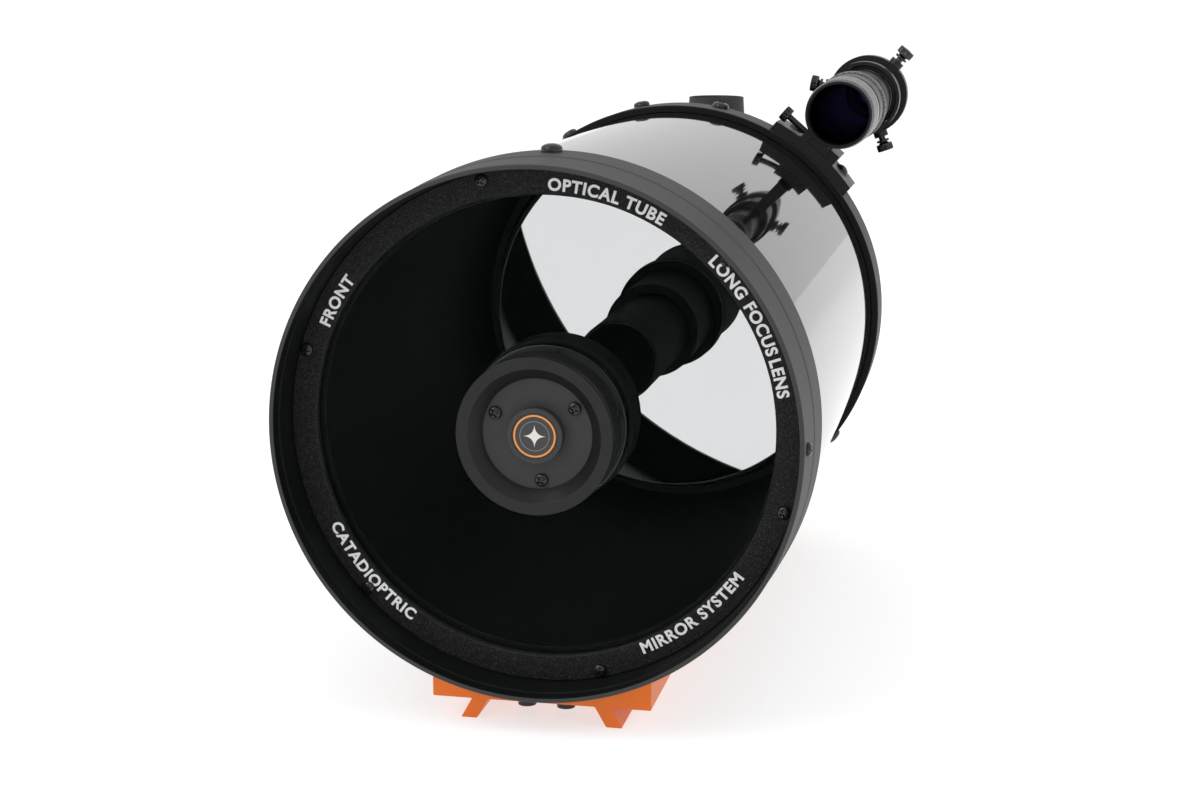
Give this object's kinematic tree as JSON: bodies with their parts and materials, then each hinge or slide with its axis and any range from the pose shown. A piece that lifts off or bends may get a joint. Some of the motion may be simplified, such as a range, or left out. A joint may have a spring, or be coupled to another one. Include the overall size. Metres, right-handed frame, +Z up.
{
  "type": "catadioptric telescope tube with finder",
  "caption": "Short closed telescope tube with a central secondary mirror, finder scope, star diagonal, eyepiece and dovetail bar.",
  "frame": {"origin": "centre of the front lip's opening, in the plane of the lip, on the optical axis", "axes": "+Y along the optical axis from the front lip towards the eyepiece, +Z up away from the dovetail bar, +X to the right for someone looking into the front"},
  "size_m": [0.2543, 0.5303, 0.2875],
  "materials": {
    "cell_paint": "fine textured black powder coat",
    "black_steel": "black oxide, glossy",
    "ring_paint": "speckled black powder coat",
    "coated_glass": "clear, coated",
    "card": "thin card or cork",
    "tube_paint": "gloss black paint",
    "mirror_coat": "first-surface mirror on a glass disc",
    "inner_black": "flat black paint",
    "brass": "turned",
    "black_anodised": "matt black anodised",
    "bright_steel": "machined",
    "rubber": "soft black rubber",
    "badge": "printed disc",
    "grey_anodised": "satin grey anodised",
    "violet_glass": "violet coated lens",
    "orange_anodised": "satin orange anodised"
  },
  "bodies": {
    "tube_assembly": {"front_cell": "cell_paint", "lip_screws": "black_steel", "front_accessory_screw": "black_steel", "corrector_retaining_ring": "ring_paint", "retaining_ring_screws": "black_steel", "corrector_plate": "coated_glass", "corrector_gasket": "card", "corrector_shims": "card", "main_tube": "tube_paint", "rear_cell": "cell_paint", "rear_cell_screws": "black_steel", "baffle_tube": "inner_black", "focus_bearing_housing": "black_anodised", "focus_housing_screws": "black_steel", "secondary_holder": "black_anodised", "secondary_baffle": "inner_black", "secondary_clamp_ring": "black_anodised", "secondary_gaskets": "card", "visual_back": "black_anodised", "finder_shoe": "black_anodised", "finder_shoe_screws": "black_steel", "dovetail_bar": "orange_anodised", "dovetail_screws": "black_steel"},
    "mirror_group": {"primary_mirror": "mirror_coat", "mirror_carrier": "inner_black", "mirror_lock_ring": "inner_black", "focus_nut": "brass"},
    "focus_knob": {"focus_screw": "bright_steel", "focus_knob": "black_anodised", "focus_knob_grip": "rubber"},
    "secondary_cell": {"secondary_cell": "cell_paint", "centre_badge": "badge"},
    "secondary_lock_ring": {"secondary_lock_ring": "black_anodised"},
    "collimation_screw_1": {"collimation_screw_1": "black_steel"},
    "collimation_screw_2": {"collimation_screw_2": "black_steel"},
    "collimation_screw_3": {"collimation_screw_3": "black_steel"},
    "secondary_mirror": {"secondary_mirror_plate": "inner_black", "secondary_mirror": "mirror_coat"},
    "visual_back_ring": {"visual_back_ring": "black_anodised"},
    "visual_back_thumbscrew": {"visual_back_thumbscrew": "black_steel"},
    "diagonal": {"diagonal_housing": "cell_paint", "diagonal_mirror": "mirror_coat"},
    "diagonal_thumbscrew": {"diagonal_thumbscrew": "black_steel"},
    "eyepiece": {"eyepiece_barrel": "bright_steel", "eyepiece_body": "black_anodised", "eyepiece_lenses": "coated_glass", "eyecup": "rubber"},
    "finder_bracket": {"finder_bracket": "black_anodised", "finder_o_ring": "rubber"},
    "finder_lock_screw": {"finder_lock_screw": "black_steel"},
    "finder": {"finder_tube": "black_anodised", "finder_eyepiece": "rubber", "finder_eye_lens": "coated_glass"},
    "finder_objective": {"finder_objective_lens": "violet_glass"},
    "finder_objective_cell": {"finder_objective_cell": "grey_anodised"},
    "finder_lock_ring": {"finder_lock_ring": "grey_anodised"},
    "finder_thumbscrew_1": {"finder_thumbscrew_1": "black_steel"},
    "finder_thumbscrew_2": {"finder_thumbscrew_2": "black_steel"},
    "finder_thumbscrew_3": {"finder_thumbscrew_3": "black_steel"}
  },
  "joints": [
    {"name": "focus_turn", "type": "hinge", "parent": "tube_assembly", "child": "focus_knob", "pos_m": [-0.05826, 0.425, -0.02121], "axis": [0, 1, 0], "range_deg": [-3240, 3240]},
    {"name": "mirror_focus_slide", "type": "slide", "parent": "tube_assembly", "child": "mirror_group", "axis": [0, 1, 0], "range_m": [-0.007, 0.007]},
    {"name": "secondary_cell_slide", "type": "slide", "parent": "tube_assembly", "child": "secondary_cell", "axis": [0, -1, 0], "range_m": [0, 0.06]},
    {"name": "secondary_lock_ring_turn", "type": "hinge", "parent": "secondary_cell", "child": "secondary_lock_ring", "pos_m": [0, 0.015, 0], "axis": [0, -1, 0], "range_deg": [0, 1080]},
    {"name": "collimation_screw_1_turn", "type": "hinge", "parent": "secondary_cell", "child": "collimation_screw_1", "pos_m": [-0.01862, 0.0142, 0.00857], "axis": [0, -1, 0], "range_deg": [-180, 180]},
    {"name": "collimation_screw_2_turn", "type": "hinge", "parent": "secondary_cell", "child": "collimation_screw_2", "pos_m": [0.01673, 0.0142, 0.01185], "axis": [0, -1, 0], "range_deg": [-180, 180]},
    {"name": "collimation_screw_3_turn", "type": "hinge", "parent": "secondary_cell", "child": "collimation_screw_3", "pos_m": [0.00189, 0.0142, -0.02041], "axis": [0, -1, 0], "range_deg": [-180, 180]},
    {"name": "secondary_mirror_tilt", "type": "hinge", "parent": "secondary_cell", "child": "secondary_mirror", "pos_m": [0, 0.02195, 0], "axis": [0.4179, 0, 0.9085], "range_deg": [-0.97, 0.97]},
    {"name": "visual_back_ring_turn", "type": "hinge", "parent": "tube_assembly", "child": "visual_back_ring", "pos_m": [0, 0.43, 0], "axis": [0, 1, 0], "range_deg": [0, 1440]},
    {"name": "visual_back_thumbscrew_turn", "type": "hinge", "parent": "tube_assembly", "child": "visual_back_thumbscrew", "pos_m": [0, 0.468, 0.025], "axis": [0, 0, 1], "range_deg": [0, 1080]},
    {"name": "diagonal_swivel", "type": "hinge", "parent": "tube_assembly", "child": "diagonal", "pos_m": [0, 0.50825, 0], "axis": [0, 1, 0], "continuous": true},
    {"name": "diagonal_thumbscrew_turn", "type": "hinge", "parent": "diagonal", "child": "diagonal_thumbscrew", "pos_m": [-0.02, 0.50825, 0.042], "axis": [-1, 0, 0], "range_deg": [0, 1080]},
    {"name": "eyepiece_slide", "type": "slide", "parent": "diagonal", "child": "eyepiece", "axis": [0, 0, 1], "range_m": [0, 0.035]},
    {"name": "finder_bracket_slide", "type": "slide", "parent": "tube_assembly", "child": "finder_bracket", "axis": [0, 1, 0], "range_m": [0, 0.035]},
    {"name": "finder_lock_screw_turn", "type": "hinge", "parent": "tube_assembly", "child": "finder_lock_screw", "pos_m": [0.06879, 0.363, 0.10996], "axis": [-0.7559, 0, 0.6547], "range_deg": [0, 1080]},
    {"name": "finder_tilt", "type": "hinge", "parent": "finder_bracket", "child": "finder", "pos_m": [0.10915, 0.343, 0.126], "axis": [0.7559, 0, -0.6547], "range_deg": [-2, 2]},
    {"name": "finder_thumbscrew_1_travel", "type": "slide", "parent": "finder_bracket", "child": "finder_thumbscrew_1", "axis": [0.6547, 0, 0.7559], "range_m": [-0.00105, 0.00105]},
    {"name": "finder_thumbscrew_2_travel", "type": "slide", "parent": "finder_bracket", "child": "finder_thumbscrew_2", "axis": [0.3272, 0, -0.9449], "range_m": [-0.00105, 0.00105]},
    {"name": "finder_thumbscrew_3_travel", "type": "slide", "parent": "finder_bracket", "child": "finder_thumbscrew_3", "axis": [-0.982, 0, 0.1891], "range_m": [-0.00105, 0.00105]},
    {"name": "finder_objective_travel", "type": "slide", "parent": "finder", "child": "finder_objective", "axis": [0, -1, 0], "range_m": [0, 0.00398]},
    {"name": "finder_objective_turn", "type": "hinge", "parent": "finder_objective", "child": "finder_objective_cell", "pos_m": [0.10915, 0.23, 0.126], "axis": [0, -1, 0], "range_deg": [0, 1440]},
    {"name": "finder_lock_ring_turn", "type": "hinge", "parent": "finder", "child": "finder_lock_ring", "pos_m": [0.10915, 0.265, 0.126], "axis": [0, -1, 0], "range_deg": [0, 720]}
  ],
  "couplings": [
    {"joint": "focus_turn", "follows": "mirror_focus_slide", "rad_per_m": -8055.4},
    {"joint": "collimation_screw_1_turn", "follows": "secondary_mirror_tilt", "ratio": -184},
    {"joint": "finder_thumbscrew_1_travel", "follows": "finder_tilt", "m_per_rad": 0.028},
    {"joint": "finder_thumbscrew_2_travel", "follows": "finder_tilt", "m_per_rad": -0.014},
    {"joint": "finder_thumbscrew_3_travel", "follows": "finder_tilt", "m_per_rad": -0.014},
    {"joint": "finder_objective_turn", "follows": "finder_objective_travel", "rad_per_m": 6283.2}
  ]
}
